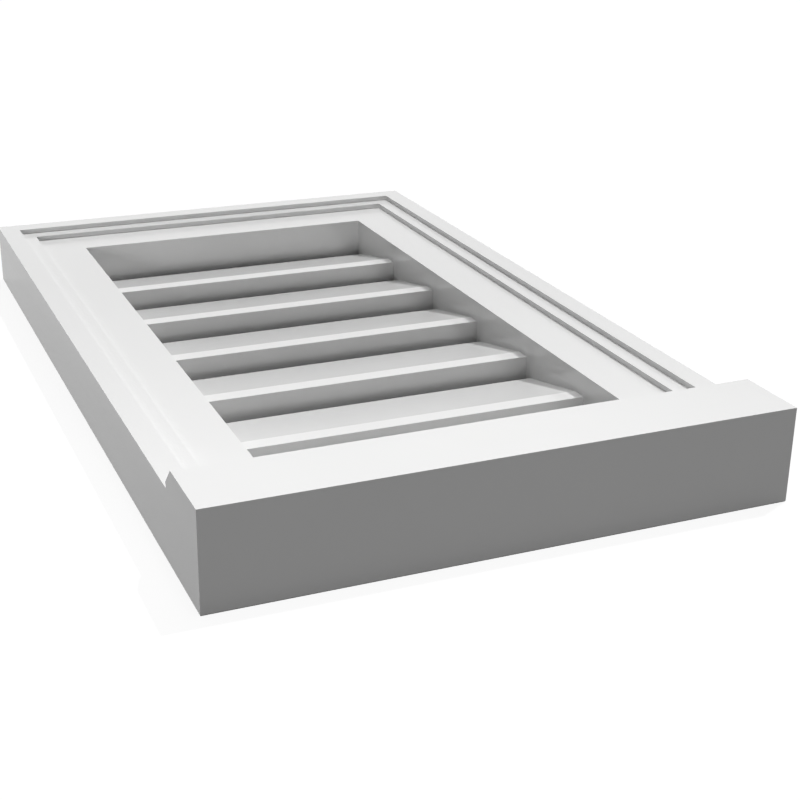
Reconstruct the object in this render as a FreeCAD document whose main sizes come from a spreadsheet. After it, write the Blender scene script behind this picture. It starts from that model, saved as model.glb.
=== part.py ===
import FreeCAD, Part
import Sketcher
import os

# Rectangular gable vent: a stepped casing on three sides, a deeper sill
# with a bevelled top edge, and a row of fixed slats with air slots between.
# Lengths are millimetres. The vent lies on its back: X runs across it,
# Y runs from the sill to the head, and Z runs out of the wall.
# The origin is the middle of the back.

os.makedirs("parts", exist_ok=True)

doc = FreeCAD.newDocument("GableVent")

# Sizes of the whole vent, of its casing, of its sill and of its slats
SIZES = [
    ("overall_wide", 304.8),
    ("overall_tall", 508.0),
    ("casing_wide", 50.8),
    ("casing_deep", 38.1),
    ("outer_band", 12.7),
    ("middle_band", 9.525),
    ("step_drop", 3.175),
    ("sill_tall", 50.8),
    ("sill_deep", 50.8),
    ("sill_bevel", 9.525),
    ("slat_count", 6),
    ("slat_gap", 6.35),
    ("slat_thick", 19.05),
    ("slat_nose", 9.525),
    ("slat_end_thick", 7.75),
]
sheet = doc.addObject("Spreadsheet::Sheet", "Sizes")
for row, (name, value) in enumerate(SIZES, start=1):
    sheet.set("A%d" % row, name)
    sheet.set("B%d" % row, str(value))
    sheet.setAlias("B%d" % row, name)
doc.recompute()

# Lengths that several pieces share, as expressions of the sizes
WIDE = "Sizes.overall_wide"
CASING = "Sizes.casing_wide"
DEEP = "Sizes.casing_deep"
DEEP_MIDDLE = "Sizes.casing_deep - Sizes.step_drop"
DEEP_INNER = "Sizes.casing_deep - 2 * Sizes.step_drop"
BAND_1 = "Sizes.outer_band"
BAND_2 = "Sizes.outer_band + Sizes.middle_band"
JAMB_TALL = "Sizes.overall_tall - Sizes.sill_tall"
OPENING_WIDE = "Sizes.overall_wide - 2 * Sizes.casing_wide"
PITCH = "(Sizes.overall_tall - Sizes.sill_tall - Sizes.casing_wide) / Sizes.slat_count"
LEFT = "-Sizes.overall_wide / 2"
BOTTOM = "-Sizes.overall_tall / 2"

bodies = []


def new_body(name, across, up):
    """A piece whose own corner stands at the place that the two expressions give."""
    body = doc.addObject("PartDesign::Body", name)
    body.Label = name
    body.setExpression("Placement.Base.x", across)
    body.setExpression("Placement.Base.y", up)
    bodies.append(body)
    return body


def outline(body, role, name, corners):
    """A closed outline; each corner is a pair of expressions, or 0 on an axis."""
    plane = [item for item in body.Origin.OriginFeatures if item.Role == role][0]
    sketch = body.newObject("Sketcher::SketchObject", name)
    sketch.AttachmentSupport = [(plane, "")]
    sketch.MapMode = "FlatFace"
    doc.recompute()
    points = []
    for pair in corners:
        u, v = [float(body.evalExpression(str(item))) for item in pair]
        points.append(FreeCAD.Vector(u, v, 0))
    count = len(points)
    for i in range(count):
        sketch.addGeometry(Part.LineSegment(points[i], points[(i + 1) % count]), False)
    for i in range(count):
        sketch.addConstraint(Sketcher.Constraint("Coincident", i, 2, (i + 1) % count, 1))
    for i, pair in enumerate(corners):
        for axis, item in enumerate(pair):
            if item == 0:
                # A corner on an axis: the upright one for 0 across, else the level one
                on_axis = Sketcher.Constraint("PointOnObject", i, 1, (-2, -1)[axis])
                sketch.addConstraint(on_axis)
                continue
            kind = ("DistanceX", "DistanceY")[axis]
            length = (points[i].x, points[i].y)[axis]
            index = sketch.addConstraint(Sketcher.Constraint(kind, -1, 1, i, 1, length))
            sketch.setExpression("Constraints[%d]" % index, item)
    return sketch


def pad(body, sketch, name, length, backwards=False):
    feature = body.newObject("PartDesign::Pad", name)
    feature.Profile = sketch
    feature.Reversed = backwards
    feature.setExpression("Length", length)
    body.Tip = feature
    doc.recompute()
    return feature


def cut_through(body, name, corners):
    """Cuts an outline on the back plane through the whole depth of the piece."""
    sketch = outline(body, "XY_Plane", name + "_outline", corners)
    feature = body.newObject("PartDesign::Pocket", name)
    feature.Profile = sketch
    feature.Type = "ThroughAll"
    feature.Midplane = True
    before = body.Shape.Volume
    body.Tip = feature
    doc.recompute()
    if not body.Shape.Volume < before - 1.0:
        raise ValueError(name + " took nothing off " + body.Label)
    return feature


# Sill: a square bar across the whole vent, its top front edge bevelled
sill = new_body("sill", LEFT, BOTTOM)
section = outline(
    sill,
    "YZ_Plane",
    "sill_section",
    [
        (0, 0),
        ("Sizes.sill_tall", 0),
        ("Sizes.sill_tall", "Sizes.sill_deep - Sizes.sill_bevel"),
        ("Sizes.sill_tall - Sizes.sill_bevel", "Sizes.sill_deep"),
        (0, "Sizes.sill_deep"),
    ],
)
pad(sill, section, "sill_bar", WIDE)

# Left jamb: thick outer band, then two steps down towards the opening
JAMB_FOOT = "Sizes.sill_tall - Sizes.overall_tall / 2"
left_jamb = new_body("left_jamb", LEFT, JAMB_FOOT)
section = outline(
    left_jamb,
    "XZ_Plane",
    "left_jamb_section",
    [
        (0, 0),
        (CASING, 0),
        (CASING, DEEP_INNER),
        (BAND_2, DEEP_INNER),
        (BAND_2, DEEP_MIDDLE),
        (BAND_1, DEEP_MIDDLE),
        (BAND_1, DEEP),
        (0, DEEP),
    ],
)
pad(left_jamb, section, "left_jamb_bar", JAMB_TALL, backwards=True)
cut_through(
    left_jamb,
    "left_jamb_mitre",
    [
        (0, JAMB_TALL),
        (CASING, JAMB_TALL + " - " + CASING),
        (CASING, JAMB_TALL),
    ],
)

# Right jamb: the same moulding the other way round
right_jamb = new_body("right_jamb", "Sizes.overall_wide / 2 - Sizes.casing_wide", JAMB_FOOT)
section = outline(
    right_jamb,
    "XZ_Plane",
    "right_jamb_section",
    [
        (0, 0),
        (CASING, 0),
        (CASING, DEEP),
        (CASING + " - (" + BAND_1 + ")", DEEP),
        (CASING + " - (" + BAND_1 + ")", DEEP_MIDDLE),
        (CASING + " - (" + BAND_2 + ")", DEEP_MIDDLE),
        (CASING + " - (" + BAND_2 + ")", DEEP_INNER),
        (0, DEEP_INNER),
    ],
)
pad(right_jamb, section, "right_jamb_bar", JAMB_TALL, backwards=True)
cut_through(
    right_jamb,
    "right_jamb_mitre",
    [
        (0, JAMB_TALL + " - " + CASING),
        (CASING, JAMB_TALL),
        (0, JAMB_TALL),
    ],
)

# Head: the same moulding across the top, mitred at both ends
head = new_body("head", LEFT, "Sizes.overall_tall / 2 - Sizes.casing_wide")
section = outline(
    head,
    "YZ_Plane",
    "head_section",
    [
        (0, 0),
        (CASING, 0),
        (CASING, DEEP),
        (CASING + " - (" + BAND_1 + ")", DEEP),
        (CASING + " - (" + BAND_1 + ")", DEEP_MIDDLE),
        (CASING + " - (" + BAND_2 + ")", DEEP_MIDDLE),
        (CASING + " - (" + BAND_2 + ")", DEEP_INNER),
        (0, DEEP_INNER),
    ],
)
pad(head, section, "head_bar", WIDE)
cut_through(head, "head_left_mitre", [(0, 0), (CASING, 0), (0, CASING)])
cut_through(
    head,
    "head_right_mitre",
    [
        (WIDE + " - " + CASING, 0),
        (WIDE, 0),
        (WIDE, CASING),
    ],
)

# Slats: boards with a square front edge, a flat nose and a face that falls away
# inwards; the narrow slot between each board and the next lets the air through
for number in range(int(round(sheet.slat_count))):
    name = "slat_%d" % (number + 1)
    foot = "%s + %d * (%s)" % (JAMB_FOOT, number, PITCH)
    slat = new_body(name, LEFT + " + " + CASING, foot)
    section = outline(
        slat,
        "YZ_Plane",
        name + "_section",
        [
            (0, 0),
            (PITCH + " - Sizes.slat_gap", 0),
            (PITCH + " - Sizes.slat_gap", "Sizes.slat_end_thick"),
            ("Sizes.slat_nose", "Sizes.slat_thick"),
            (0, "Sizes.slat_thick"),
        ],
    )
    pad(slat, section, name + "_board", OPENING_WIDE)

doc.recompute()

for item in doc.Objects:
    if "Invalid" in item.State or "Error" in item.State:
        raise ValueError(item.Label + " did not build")
for body in bodies:
    shape = body.Shape
    if shape.isNull() or not shape.isValid() or len(shape.Solids) != 1:
        raise ValueError(body.Label + " is not one sound solid")
    shape.exportStep("parts/" + body.Label + ".step")
    box = shape.BoundBox
    print(
        "%-11s x %.3f..%.3f y %.3f..%.3f z %.3f..%.3f volume %.0f"
        % (body.Label, box.XMin, box.XMax, box.YMin, box.YMax, box.ZMin, box.ZMax, shape.Volume)
    )
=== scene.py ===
"""Looks, light and camera for a rectangular gable vent that lies on its back."""

import math

import bpy
import numpy as np
from bpy.props import FloatProperty, FloatVectorProperty, PointerProperty
from bpy.types import Operator, Panel, PropertyGroup
from mathutils import Matrix, Vector


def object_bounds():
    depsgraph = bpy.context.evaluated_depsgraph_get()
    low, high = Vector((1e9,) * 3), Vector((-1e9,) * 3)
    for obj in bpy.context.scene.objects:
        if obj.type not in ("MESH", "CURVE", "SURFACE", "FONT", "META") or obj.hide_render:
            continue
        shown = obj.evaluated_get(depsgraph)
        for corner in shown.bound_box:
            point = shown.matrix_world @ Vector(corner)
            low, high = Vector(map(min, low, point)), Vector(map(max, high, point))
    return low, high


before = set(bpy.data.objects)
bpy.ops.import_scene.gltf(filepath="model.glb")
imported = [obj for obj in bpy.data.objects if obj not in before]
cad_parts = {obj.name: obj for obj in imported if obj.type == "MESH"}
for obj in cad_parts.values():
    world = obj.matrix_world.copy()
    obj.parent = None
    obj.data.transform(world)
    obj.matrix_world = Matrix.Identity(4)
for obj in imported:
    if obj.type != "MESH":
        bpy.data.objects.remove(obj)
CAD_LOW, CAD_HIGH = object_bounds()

bl_info = {
    "name": "Gable Vent",
    "version": (1, 0, 0),
    "blender": (4, 5, 0),
    "location": "3D View > Sidebar > Gable Vent",
    "description": "Finishes, lights and frames a louvred gable vent",
    "category": "Object",
}

UPRIGHT_NODES = ("left_jamb", "right_jamb")
LEVEL_NODES = ("sill", "head")
SLAT_NODES = tuple(sorted(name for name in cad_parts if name.startswith("slat_")))
WHITE = (1.0, 1.0, 1.0, 1.0)
PVC_IOR = 1.54
# Drifts of shade per metre
DRIFT = 9.0
# Drawing marks per metre across the board and along it
ACROSS, ALONG = 900.0, 6.0
# Stretches the middle of a noise to -1..1
NOISE_SWING = {"From_Min": 0.3, "From_Max": 0.7, "To_Min": -1.0, "To_Max": 1.0}
# Share of the vent's outline inside which the floor has no lift, a painted shade under the vent
PAINTED_SHADE_SHARE = 0.999
# Where the overhead light and the front fill stand, as seen from the vent
HIGH_TOWARD = (0.0, 0.2, 1.0)
FILL_TOWARD = (-0.3, -1.0, 0.08)
# The hooded lamp looks down, a hair off the vertical so that it has a right-hand side
HOOD_FORWARD = (0.0, 0.01, -1.0)
SENSOR_WIDTH = 36.0


class VentFinishSettings(PropertyGroup):
    """The finish of the moulded white boards."""

    colour: FloatVectorProperty(
        name="Board colour",
        description="Colour of the white cellular PVC",
        subtype="COLOR",
        size=4,
        min=0.0,
        max=1.0,
        default=(0.7, 0.7, 0.698, 1.0),
    )
    shade_change: FloatProperty(
        name="Shade change",
        description="How much the white drifts along a board",
        default=0.012,
        min=0.0,
        max=0.1,
    )
    roughness: FloatProperty(
        name="Roughness",
        description="Roughness of the skin of the boards",
        default=0.16,
        min=0.0,
        max=1.0,
        subtype="FACTOR",
    )
    roughness_change: FloatProperty(
        name="Roughness change",
        description="How much the skin's roughness varies",
        default=0.02,
        min=0.0,
        max=0.3,
    )
    drawing_height: FloatProperty(
        name="Drawing mark height",
        description="Height of the faint lines that the extruder leaves along a board",
        default=0.00001,
        min=0.0,
        max=0.001,
        precision=6,
        unit="LENGTH",
    )


class VentStageSettings(PropertyGroup):
    """Floor, light and camera."""

    floor_radius: FloatProperty(
        name="Floor radius",
        description="Half width of the floor",
        default=6.0,
        unit="LENGTH",
    )
    floor_drop: FloatProperty(
        name="Floor drop",
        description="Gap between the back of the vent and the floor",
        default=0.0004,
        precision=5,
        unit="LENGTH",
    )
    floor_tone: FloatProperty(
        name="Floor tone",
        description="How pale the floor is to the light that falls on it",
        default=0.12,
        min=0.0,
        max=1.0,
    )
    floor_lift: FloatProperty(
        name="Floor lift",
        description="How bright the floor is to the camera before light falls on it",
        default=0.89,
        min=0.0,
        max=1.0,
    )
    sky: FloatProperty(
        name="Sky",
        description="Strength of the even light from all round",
        default=0.02,
        min=0.0,
    )
    sun: FloatProperty(
        name="Key strength",
        description="Strength of the small key light, as a sun lamp",
        default=1.95,
        min=0.0,
    )
    sun_slope: FloatVectorProperty(
        name="Key slope",
        description="How far across and up the vent the key light stands for each unit of height",
        size=2,
        default=(0.39, 0.19),
    )
    sun_spread: FloatProperty(
        name="Key spread",
        description="Angle that the key light fills, which softens its shadows",
        default=math.radians(0.8),
        subtype="ANGLE",
    )
    high: FloatProperty(
        name="Overhead strength",
        description="Strength of the broad light from above, as a sun lamp",
        default=1.38,
        min=0.0,
    )
    high_spread: FloatProperty(
        name="Overhead spread",
        description="Angle that the overhead light fills",
        default=math.radians(40.0),
        subtype="ANGLE",
    )
    fill: FloatProperty(
        name="Front fill strength",
        description="Strength of the low light in front of the sill, as a sun lamp",
        default=0.465,
        min=0.0,
    )
    fill_spread: FloatProperty(
        name="Front fill spread",
        description="Angle that the front fill takes up",
        default=math.radians(6.0),
        subtype="ANGLE",
    )
    soft_power: FloatProperty(
        name="Sill light power",
        description="Power of the hooded lamp high above the sill end",
        default=8.8,
        min=0.0,
        unit="POWER",
    )
    soft_cone: FloatProperty(
        name="Sill light cone",
        description="Angle of the hooded lamp's cone, which fades out towards its rim",
        default=math.radians(50.0),
        subtype="ANGLE",
    )
    soft_size: FloatProperty(
        name="Sill light size",
        description="Radius of the hooded lamp, which softens its shadows",
        default=0.1,
        unit="LENGTH",
    )
    soft_place: FloatVectorProperty(
        name="Sill light place",
        description="Where the hooded lamp hangs",
        size=3,
        subtype="TRANSLATION",
        default=(-0.1, -0.35, 1.0),
    )
    camera_place: FloatVectorProperty(
        name="Camera place",
        description="Where the camera stands",
        size=3,
        subtype="TRANSLATION",
        default=(-0.29664, -0.79985, 0.33039),
    )
    camera_azimuth: FloatProperty(
        name="Camera azimuth",
        description="How far the camera looks to the right of the line from sill to head",
        default=math.radians(23.4038),
        subtype="ANGLE",
    )
    camera_dip: FloatProperty(
        name="Camera dip",
        description="How far the camera looks down",
        default=math.radians(22.2941),
        subtype="ANGLE",
    )
    camera_roll: FloatProperty(
        name="Camera roll",
        description="Turn of the camera about its own line of sight",
        default=math.radians(0.8343),
        subtype="ANGLE",
    )
    camera_lens: FloatProperty(
        name="Camera lens",
        description="Focal length in millimetres on a 36 mm frame",
        default=67.238,
    )


def node(tree, kind, x, y, **values):
    """A shader node at a place in the editor. A value names an input or a setting."""
    made = tree.nodes.new(kind)
    made.location = (x, y)
    for name, value in values.items():
        socket = made.inputs.get(name.replace("_", " "))
        if socket is not None:
            socket.default_value = value
        else:
            setattr(made, name, value)
    return made


def board_skin_group():
    """The skin of an extruded board, as a group that each board material places.

    The shade drifts by broad noise. Fine noise, drawn out along the run of the
    board, gives faint drawing marks as a height, and changes the roughness.
    """
    name = "board_skin"
    if name in bpy.data.node_groups:
        return bpy.data.node_groups[name]
    group = bpy.data.node_groups.new(name, "ShaderNodeTree")
    face = group.interface
    for label, kind in (
        ("Colour", "NodeSocketColor"),
        ("Shade Change", "NodeSocketFloat"),
        ("Roughness", "NodeSocketFloat"),
        ("Roughness Change", "NodeSocketFloat"),
        ("Run", "NodeSocketVector"),
    ):
        face.new_socket(label, in_out="INPUT", socket_type=kind)
    for label, kind in (
        ("Colour", "NodeSocketColor"),
        ("Roughness", "NodeSocketFloat"),
        ("Height", "NodeSocketFloat"),
    ):
        face.new_socket(label, in_out="OUTPUT", socket_type=kind)
    link = group.links.new
    enter = node(group, "NodeGroupInput", -900, 0)
    leave = node(group, "NodeGroupOutput", 700, 0)
    place = node(group, "ShaderNodeTexCoord", -900, -300)

    broad = node(group, "ShaderNodeTexNoise", -500, 250, Scale=DRIFT, Detail=2.0)
    link(place.outputs["Object"], broad.inputs["Vector"])
    swing = node(group, "ShaderNodeMapRange", -300, 250, **NOISE_SWING)
    link(broad.outputs["Fac"], swing.inputs["Value"])
    shade = node(group, "ShaderNodeMath", -100, 250, operation="MULTIPLY_ADD")
    shade.inputs[2].default_value = 1.0
    link(swing.outputs["Result"], shade.inputs[0])
    link(enter.outputs["Shade Change"], shade.inputs[1])
    tint = node(group, "ShaderNodeVectorMath", 150, 250, operation="SCALE")
    link(enter.outputs["Colour"], tint.inputs[0])
    link(shade.outputs[0], tint.inputs["Scale"])
    link(tint.outputs[0], leave.inputs["Colour"])

    drawn = node(group, "ShaderNodeVectorMath", -700, -150, operation="MULTIPLY")
    link(place.outputs["Object"], drawn.inputs[0])
    link(enter.outputs["Run"], drawn.inputs[1])
    marks = node(group, "ShaderNodeTexNoise", -500, -150, Scale=1.0, Detail=3.0)
    link(drawn.outputs[0], marks.inputs["Vector"])
    link(marks.outputs["Fac"], leave.inputs["Height"])
    rub = node(group, "ShaderNodeMapRange", -300, -150, **NOISE_SWING)
    link(marks.outputs["Fac"], rub.inputs["Value"])
    skin = node(group, "ShaderNodeMath", -100, -150, operation="MULTIPLY_ADD")
    link(rub.outputs["Result"], skin.inputs[0])
    link(enter.outputs["Roughness Change"], skin.inputs[1])
    link(enter.outputs["Roughness"], skin.inputs[2])
    link(skin.outputs[0], leave.inputs["Roughness"])
    return group


def board_material(name, run):
    """White board whose drawing marks run along the axis where run is smallest."""
    finish = bpy.context.scene.vent_finish
    material = bpy.data.materials.new(name)
    material.use_nodes = True
    tree = material.node_tree
    tree.nodes.clear()
    skin = node(tree, "ShaderNodeGroup", -500, 0, node_tree=board_skin_group())
    skin.inputs["Colour"].default_value = finish.colour
    skin.inputs["Shade Change"].default_value = finish.shade_change
    skin.inputs["Roughness"].default_value = finish.roughness
    skin.inputs["Roughness Change"].default_value = finish.roughness_change
    skin.inputs["Run"].default_value = run
    bump = node(tree, "ShaderNodeBump", -250, -200, Strength=1.0, Distance=finish.drawing_height)
    shader = node(tree, "ShaderNodeBsdfPrincipled", 0, 0, Metallic=0.0, IOR=PVC_IOR)
    out = node(tree, "ShaderNodeOutputMaterial", 300, 0)
    link = tree.links.new
    link(skin.outputs["Colour"], shader.inputs["Base Color"])
    link(skin.outputs["Roughness"], shader.inputs["Roughness"])
    link(skin.outputs["Height"], bump.inputs["Height"])
    link(bump.outputs["Normal"], shader.inputs["Normal"])
    link(shader.outputs["BSDF"], out.inputs["Surface"])
    return material


def dress(names, material):
    """Gives each CAD node its material; the shape stays the CAD's own."""
    for name in names:
        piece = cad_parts[name]
        piece.data.materials.clear()
        piece.data.materials.append(material)


class VENT_OT_casing(Operator):
    """Finish the sill, the jambs and the head"""

    bl_idname = "vent.casing"
    bl_label = "Finish Casing"

    def execute(self, context):
        dress(UPRIGHT_NODES, board_material("white_board_upright", (ACROSS, ALONG, ACROSS)))
        dress(LEVEL_NODES, board_material("white_board_level", (ALONG, ACROSS, ACROSS)))
        return {"FINISHED"}


class VENT_OT_slats(Operator):
    """Finish the slats"""

    bl_idname = "vent.slats"
    bl_label = "Finish Slats"

    def execute(self, context):
        dress(SLAT_NODES, board_material("white_board_slat", (ALONG, ACROSS, ACROSS)))
        return {"FINISHED"}


def seen_ray(tree, x, y):
    """1 for rays that the camera, a gloss or a clear pane sends out, else 0."""
    path = node(tree, "ShaderNodeLightPath", x, y)
    first = node(tree, "ShaderNodeMath", x + 200, y, operation="MAXIMUM")
    both = node(tree, "ShaderNodeMath", x + 400, y, operation="MAXIMUM")
    tree.links.new(path.outputs["Is Camera Ray"], first.inputs[0])
    tree.links.new(path.outputs["Is Glossy Ray"], first.inputs[1])
    tree.links.new(first.outputs[0], both.inputs[0])
    tree.links.new(path.outputs["Is Transmission Ray"], both.inputs[1])
    return both.outputs[0]


def floor_material(stage):
    """Pale floor: white to the camera, dull to the light, and with painted shade under the vent.

    The lift is 0 inside the box of the vent's own outline, found as the greater
    of |x| / half width and |y| / half length, so that the slots stay dark: this is
    painted shade, which the camera and reflections see in place of the floor's white.
    """
    material = bpy.data.materials.new("pale_floor")
    material.use_nodes = True
    tree = material.node_tree
    tree.nodes.clear()
    link = tree.links.new
    tone = stage.floor_tone
    dull = node(tree, "ShaderNodeBsdfDiffuse", 0, 100, Color=(tone, tone, tone, 1.0))
    place = node(tree, "ShaderNodeTexCoord", -1200, -200)
    size = CAD_HIGH - CAD_LOW
    middle = (CAD_HIGH + CAD_LOW) / 2
    centred = node(tree, "ShaderNodeVectorMath", -1000, -200, operation="SUBTRACT")
    centred.inputs[1].default_value = (middle.x, middle.y, 0.0)
    link(place.outputs["Object"], centred.inputs[0])
    ratio = node(tree, "ShaderNodeVectorMath", -800, -200, operation="MULTIPLY")
    ratio.inputs[1].default_value = (2 / size.x, 2 / size.y, 0.0)
    link(centred.outputs[0], ratio.inputs[0])
    spread = node(tree, "ShaderNodeVectorMath", -600, -200, operation="ABSOLUTE")
    link(ratio.outputs[0], spread.inputs[0])
    parts = node(tree, "ShaderNodeSeparateXYZ", -400, -200)
    link(spread.outputs[0], parts.inputs[0])
    reach = node(tree, "ShaderNodeMath", -200, -200, operation="MAXIMUM")
    link(parts.outputs["X"], reach.inputs[0])
    link(parts.outputs["Y"], reach.inputs[1])
    # Painted shade: no lift inside the vent's outline, so the floor under the vent and its slots
    # look dark
    outside = node(tree, "ShaderNodeMath", 0, -200, operation="GREATER_THAN")
    outside.inputs[1].default_value = PAINTED_SHADE_SHARE
    link(reach.outputs[0], outside.inputs[0])
    seen = node(tree, "ShaderNodeMath", 200, -200, operation="MULTIPLY")
    link(outside.outputs[0], seen.inputs[0])
    link(seen_ray(tree, -400, -500), seen.inputs[1])
    strength = node(tree, "ShaderNodeMath", 400, -200, operation="MULTIPLY")
    strength.inputs[1].default_value = stage.floor_lift
    link(seen.outputs[0], strength.inputs[0])
    glow = node(tree, "ShaderNodeEmission", 600, -100, Color=WHITE)
    link(strength.outputs[0], glow.inputs["Strength"])
    both = node(tree, "ShaderNodeAddShader", 800, 0)
    link(dull.outputs[0], both.inputs[0])
    link(glow.outputs[0], both.inputs[1])
    out = node(tree, "ShaderNodeOutputMaterial", 1000, 0)
    link(both.outputs[0], out.inputs["Surface"])
    return material


def sky_world(stage):
    """Even light from all round, which the camera sees as plain white."""
    world = bpy.data.worlds.new("studio")
    world.use_nodes = True
    tree = world.node_tree
    tree.nodes.clear()
    link = tree.links.new
    even = node(tree, "ShaderNodeBackground", 0, 100, Color=WHITE, Strength=stage.sky)
    white = node(tree, "ShaderNodeBackground", 0, -100, Color=WHITE, Strength=1.0)
    choose = node(tree, "ShaderNodeMixShader", 250, 0)
    link(seen_ray(tree, -400, 300), choose.inputs[0])
    link(even.outputs[0], choose.inputs[1])
    link(white.outputs[0], choose.inputs[2])
    out = node(tree, "ShaderNodeOutputWorld", 450, 0)
    link(choose.outputs[0], out.inputs["Surface"])
    bpy.context.scene.world = world


def square_floor(half, height):
    """A flat grid of corners (u, v) * half at one height, joined into one square."""
    u, v = np.meshgrid((-1.0, 1.0), (-1.0, 1.0))
    corners = np.stack([u.ravel() * half, v.ravel() * half, np.full(4, height)], axis=1)
    mesh = bpy.data.meshes.new("floor")
    mesh.from_pydata(corners.tolist(), [], [(0, 1, 3, 2)])
    floor = bpy.data.objects.new("floor", mesh)
    bpy.context.scene.collection.objects.link(floor)
    return floor


def aim(thing, place, forward, roll=0.0):
    """Stands a lamp or camera at a place, its -Z along forward, turned by roll."""
    forward = Vector(forward).normalized()
    right = forward.cross(Vector((0.0, 0.0, 1.0))).normalized()
    up = right.cross(forward)
    side = right * math.cos(roll) + up * math.sin(roll)
    top = up * math.cos(roll) - right * math.sin(roll)
    turned = Matrix((side, top, -forward)).transposed().to_4x4()
    thing.matrix_world = Matrix.Translation(Vector(place)) @ turned


def lamp(name, kind, **values):
    """A lamp that the camera doesn't see."""
    data = bpy.data.lights.new(name, kind)
    for key, value in values.items():
        setattr(data, key, value)
    made = bpy.data.objects.new(name, data)
    made.visible_camera = False
    bpy.context.scene.collection.objects.link(made)
    return made


def sun(name, toward, **values):
    """A sun lamp that stands in the direction toward, as seen from the vent."""
    made = lamp(name, "SUN", **values)
    aim(made, toward, -Vector(toward))
    return made


def light_vent(stage):
    """Key, overhead light, front fill and the hooded lamp above the sill end.

    Seen from above, the mirror images of the overhead light and of the hooded
    lamp would whiten the flat faces, so neither is in reflections.
    """
    across, up = stage.sun_slope
    sun("key", (across, up, 1.0), energy=stage.sun, angle=stage.sun_spread)
    high = sun("high", HIGH_TOWARD, energy=stage.high, angle=stage.high_spread)
    high.visible_glossy = False
    sun("fill", FILL_TOWARD, energy=stage.fill, angle=stage.fill_spread)
    soft = lamp(
        "soft",
        "SPOT",
        energy=stage.soft_power,
        spot_size=stage.soft_cone,
        spot_blend=1.0,
        shadow_soft_size=stage.soft_size,
    )
    aim(soft, stage.soft_place, HOOD_FORWARD)
    soft.visible_glossy = False


def stand_camera(stage):
    """The photograph's camera, without shift."""
    data = bpy.data.cameras.new("camera")
    data.sensor_fit = "HORIZONTAL"
    data.sensor_width = SENSOR_WIDTH
    data.lens = stage.camera_lens
    camera = bpy.data.objects.new("camera", data)
    scene = bpy.context.scene
    scene.collection.objects.link(camera)
    turn, dip = stage.camera_azimuth, stage.camera_dip
    forward = (
        math.sin(turn) * math.cos(dip),
        math.cos(turn) * math.cos(dip),
        -math.sin(dip),
    )
    aim(camera, stage.camera_place, forward, stage.camera_roll)
    scene.camera = camera


class VENT_OT_stage(Operator):
    """Lay the floor, and set the lights and the camera"""

    bl_idname = "vent.stage"
    bl_label = "Set Stage"

    def execute(self, context):
        stage = context.scene.vent_stage
        floor = square_floor(stage.floor_radius, CAD_LOW.z - stage.floor_drop)
        floor.data.materials.append(floor_material(stage))
        sky_world(stage)
        light_vent(stage)
        stand_camera(stage)
        context.scene.view_settings.view_transform = "Standard"
        return {"FINISHED"}


class VENT_PT_panel(Panel):
    """Lists the steps and their settings"""

    bl_idname = "VENT_PT_panel"
    bl_label = "Gable Vent"
    bl_space_type = "VIEW_3D"
    bl_region_type = "UI"
    bl_category = "Gable Vent"

    def draw(self, context):
        layout = self.layout
        for step in (VENT_OT_casing, VENT_OT_slats, VENT_OT_stage):
            layout.operator(step.bl_idname)
        for settings in (context.scene.vent_finish, context.scene.vent_stage):
            box = layout.box()
            for name in settings.bl_rna.properties.keys():
                if name not in ("rna_type", "name"):
                    box.prop(settings, name)


CLASSES = (
    VentFinishSettings,
    VentStageSettings,
    VENT_OT_casing,
    VENT_OT_slats,
    VENT_OT_stage,
    VENT_PT_panel,
)


def register():
    for cls in CLASSES:
        bpy.utils.register_class(cls)
    bpy.types.Scene.vent_finish = PointerProperty(type=VentFinishSettings)
    bpy.types.Scene.vent_stage = PointerProperty(type=VentStageSettings)


def unregister():
    del bpy.types.Scene.vent_stage
    del bpy.types.Scene.vent_finish
    for cls in reversed(CLASSES):
        bpy.utils.unregister_class(cls)


def main():
    """Runs the steps in order."""
    register()
    bpy.ops.vent.casing()
    bpy.ops.vent.slats()
    bpy.ops.vent.stage()


if __name__ == "__main__":
    main()
